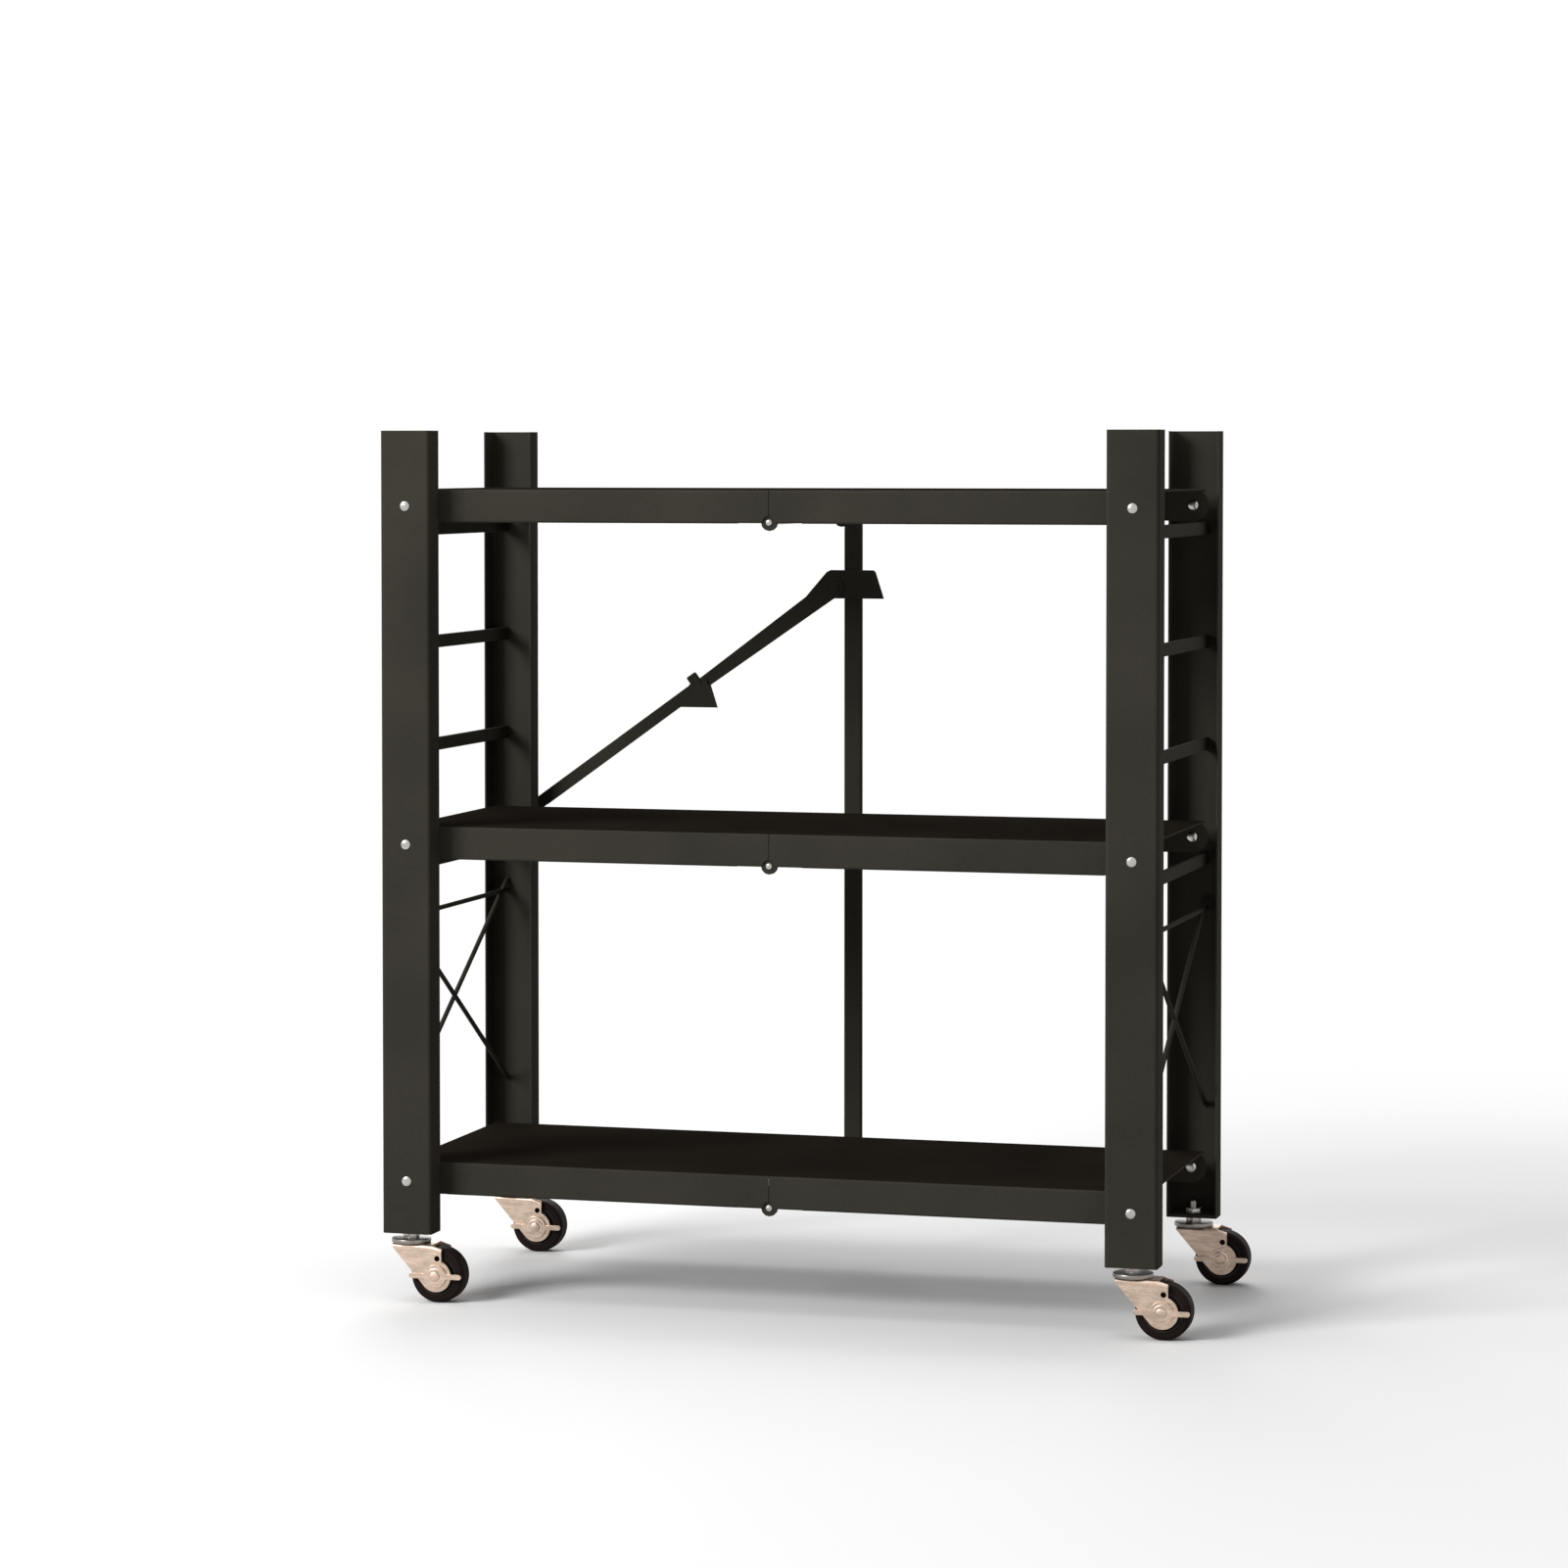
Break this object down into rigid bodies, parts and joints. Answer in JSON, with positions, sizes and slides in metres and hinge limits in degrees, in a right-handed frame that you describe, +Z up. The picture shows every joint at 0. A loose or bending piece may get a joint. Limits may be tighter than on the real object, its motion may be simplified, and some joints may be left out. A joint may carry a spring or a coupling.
{
  "type": "folding bookcase",
  "caption": "Folding steel bookcase on casters: two channel-post side frames, hinged shelf leaves that rise at the seams, a rear bar and a sliding stay.",
  "frame": {"origin": "floor under the middle of the unfolded bookcase's outline", "axes": "+X along the shelves to the right, +Y from the front to the back, +Z up"},
  "size_m": [0.7444, 0.3266, 0.79],
  "materials": {
    "black_coat": "satin black powder coat",
    "bright_zinc": "bright zinc plate",
    "warm_nickel": "warm satin nickel plate",
    "stem_steel": "oiled plated steel",
    "black_rubber": "matt black tread"
  },
  "bodies": {
    "left_frame": {"post_front_left": "black_coat", "post_rear_left": "black_coat", "cross_rail_top_left": "black_coat", "cross_rail_middle_left": "black_coat", "guard_rail_1_left": "black_coat", "guard_rail_2_left": "black_coat", "brace_wires_left": "black_coat", "pivot_bottom_front_left": "bright_zinc", "pivot_bottom_rear_left": "bright_zinc", "pivot_middle_front_left": "bright_zinc", "pivot_middle_rear_left": "bright_zinc", "pivot_top_front_left": "bright_zinc", "pivot_top_rear_left": "bright_zinc", "caster_stem_front_left": "stem_steel", "caster_stem_rear_left": "stem_steel"},
    "right_frame": {"post_front_right": "black_coat", "post_rear_right": "black_coat", "cross_rail_top_right": "black_coat", "cross_rail_middle_right": "black_coat", "guard_rail_1_right": "black_coat", "guard_rail_2_right": "black_coat", "brace_wires_right": "black_coat", "pivot_bottom_front_right": "bright_zinc", "pivot_bottom_rear_right": "bright_zinc", "pivot_middle_front_right": "bright_zinc", "pivot_middle_rear_right": "bright_zinc", "pivot_top_front_right": "bright_zinc", "pivot_top_rear_right": "bright_zinc", "caster_stem_front_right": "stem_steel", "caster_stem_rear_right": "stem_steel"},
    "bottom_left_leaf": {"leaf_bottom_left": "black_coat", "hinge_pin_bottom": "bright_zinc"},
    "bottom_right_leaf": {"leaf_bottom_right": "black_coat"},
    "middle_left_leaf": {"leaf_middle_left": "black_coat", "hinge_pin_middle": "bright_zinc"},
    "middle_right_leaf": {"leaf_middle_right": "black_coat"},
    "top_left_leaf": {"leaf_top_left": "black_coat", "hinge_pin_top": "bright_zinc"},
    "top_right_leaf": {"leaf_top_right": "black_coat"},
    "centre_bar": {"centre_bar": "black_coat", "stay_bracket": "black_coat"},
    "upper_stay": {"stay_upper": "black_coat"},
    "lower_stay": {"stay_lower": "black_coat", "stay_keeper": "black_coat"},
    "front_left_swivel": {"caster_fork_front_left": "warm_nickel", "axle_front_left": "warm_nickel"},
    "front_left_wheel": {"wheel_front_left": "black_rubber"},
    "front_left_brake": {"brake_lever_front_left": "warm_nickel"},
    "rear_left_swivel": {"caster_fork_rear_left": "warm_nickel", "axle_rear_left": "warm_nickel"},
    "rear_left_wheel": {"wheel_rear_left": "black_rubber"},
    "rear_left_brake": {"brake_lever_rear_left": "warm_nickel"},
    "front_right_swivel": {"caster_fork_front_right": "warm_nickel", "axle_front_right": "warm_nickel"},
    "front_right_wheel": {"wheel_front_right": "black_rubber"},
    "front_right_brake": {"brake_lever_front_right": "warm_nickel"},
    "rear_right_swivel": {"caster_fork_rear_right": "warm_nickel", "axle_rear_right": "warm_nickel"},
    "rear_right_wheel": {"wheel_rear_right": "black_rubber"},
    "rear_right_brake": {"brake_lever_rear_right": "warm_nickel"}
  },
  "joints": [
    {"name": "fold", "type": "hinge", "parent": "left_frame", "child": "middle_left_leaf", "pos_m": [-0.34875, -0.0048, 0.416], "axis": [0, -1, 0], "range_deg": [0, 80]},
    {"name": "middle_seam", "type": "hinge", "parent": "middle_left_leaf", "child": "middle_right_leaf", "pos_m": [-0.01475, -0.0048, 0.402], "axis": [0, -1, 0], "range_deg": [-160, 0]},
    {"name": "right_frame_turn", "type": "hinge", "parent": "middle_right_leaf", "child": "right_frame", "pos_m": [0.31925, -0.0048, 0.416], "axis": [0, -1, 0], "range_deg": [0, 80]},
    {"name": "top_left_turn", "type": "hinge", "parent": "left_frame", "child": "top_left_leaf", "pos_m": [-0.34875, -0.0048, 0.722], "axis": [0, -1, 0], "range_deg": [0, 80]},
    {"name": "top_seam", "type": "hinge", "parent": "top_left_leaf", "child": "top_right_leaf", "pos_m": [-0.01475, -0.0048, 0.708], "axis": [0, -1, 0], "range_deg": [-160, 0]},
    {"name": "bottom_left_turn", "type": "hinge", "parent": "left_frame", "child": "bottom_left_leaf", "pos_m": [-0.34875, -0.0048, 0.11], "axis": [0, -1, 0], "range_deg": [0, 80]},
    {"name": "bottom_seam", "type": "hinge", "parent": "bottom_left_leaf", "child": "bottom_right_leaf", "pos_m": [-0.01475, -0.0048, 0.096], "axis": [0, -1, 0], "range_deg": [-160, 0]},
    {"name": "bar_turn", "type": "hinge", "parent": "middle_left_leaf", "child": "centre_bar", "pos_m": [-0.01475, -0.0048, 0.402], "axis": [0, -1, 0], "range_deg": [-80, 0]},
    {"name": "lower_stay_turn", "type": "hinge", "parent": "left_frame", "child": "lower_stay", "pos_m": [-0.34875, -0.0048, 0.416], "axis": [0, -1, 0], "range_deg": [0, 49.4]},
    {"name": "upper_stay_turn", "type": "hinge", "parent": "centre_bar", "child": "upper_stay", "pos_m": [-0.03175, -0.0048, 0.643], "axis": [0, -1, 0], "range_deg": [0, 49.4]},
    {"name": "front_left_swivel", "type": "hinge", "parent": "left_frame", "child": "front_left_swivel", "pos_m": [-0.34875, -0.1453, 0.058], "axis": [0, 0, 1], "continuous": true},
    {"name": "front_left_roll", "type": "hinge", "parent": "front_left_swivel", "child": "front_left_wheel", "pos_m": [-0.32075, -0.1453, 0.025], "axis": [0, 1, 0], "continuous": true},
    {"name": "front_left_brake", "type": "hinge", "parent": "front_left_swivel", "child": "front_left_brake", "pos_m": [-0.32075, -0.1453, 0.025], "axis": [0, 1, 0], "range_deg": [0, 20]},
    {"name": "rear_left_swivel", "type": "hinge", "parent": "left_frame", "child": "rear_left_swivel", "pos_m": [-0.34875, 0.1357, 0.058], "axis": [0, 0, 1], "continuous": true},
    {"name": "rear_left_roll", "type": "hinge", "parent": "rear_left_swivel", "child": "rear_left_wheel", "pos_m": [-0.32075, 0.1357, 0.025], "axis": [0, 1, 0], "continuous": true},
    {"name": "rear_left_brake", "type": "hinge", "parent": "rear_left_swivel", "child": "rear_left_brake", "pos_m": [-0.32075, 0.1357, 0.025], "axis": [0, 1, 0], "range_deg": [0, 20]},
    {"name": "front_right_swivel", "type": "hinge", "parent": "right_frame", "child": "front_right_swivel", "pos_m": [0.31925, -0.1453, 0.058], "axis": [0, 0, 1], "continuous": true},
    {"name": "front_right_roll", "type": "hinge", "parent": "front_right_swivel", "child": "front_right_wheel", "pos_m": [0.34725, -0.1453, 0.025], "axis": [0, 1, 0], "continuous": true},
    {"name": "front_right_brake", "type": "hinge", "parent": "front_right_swivel", "child": "front_right_brake", "pos_m": [0.34725, -0.1453, 0.025], "axis": [0, 1, 0], "range_deg": [0, 20]},
    {"name": "rear_right_swivel", "type": "hinge", "parent": "right_frame", "child": "rear_right_swivel", "pos_m": [0.31925, 0.1357, 0.058], "axis": [0, 0, 1], "continuous": true},
    {"name": "rear_right_roll", "type": "hinge", "parent": "rear_right_swivel", "child": "rear_right_wheel", "pos_m": [0.34725, 0.1357, 0.025], "axis": [0, 1, 0], "continuous": true},
    {"name": "rear_right_brake", "type": "hinge", "parent": "rear_right_swivel", "child": "rear_right_brake", "pos_m": [0.34725, 0.1357, 0.025], "axis": [0, 1, 0], "range_deg": [0, 20]}
  ],
  "couplings": [
    {"joint": "middle_seam", "follows": "fold", "ratio": -2},
    {"joint": "right_frame_turn", "follows": "fold", "ratio": 1},
    {"joint": "top_left_turn", "follows": "fold", "ratio": 1},
    {"joint": "top_seam", "follows": "fold", "ratio": -2},
    {"joint": "bottom_left_turn", "follows": "fold", "ratio": 1},
    {"joint": "bottom_seam", "follows": "fold", "ratio": -2},
    {"joint": "bar_turn", "follows": "fold", "ratio": -1},
    {"joint": "lower_stay_turn", "follows": "fold", "ratio": 0.6175},
    {"joint": "upper_stay_turn", "follows": "fold", "ratio": 0.6175}
  ]
}
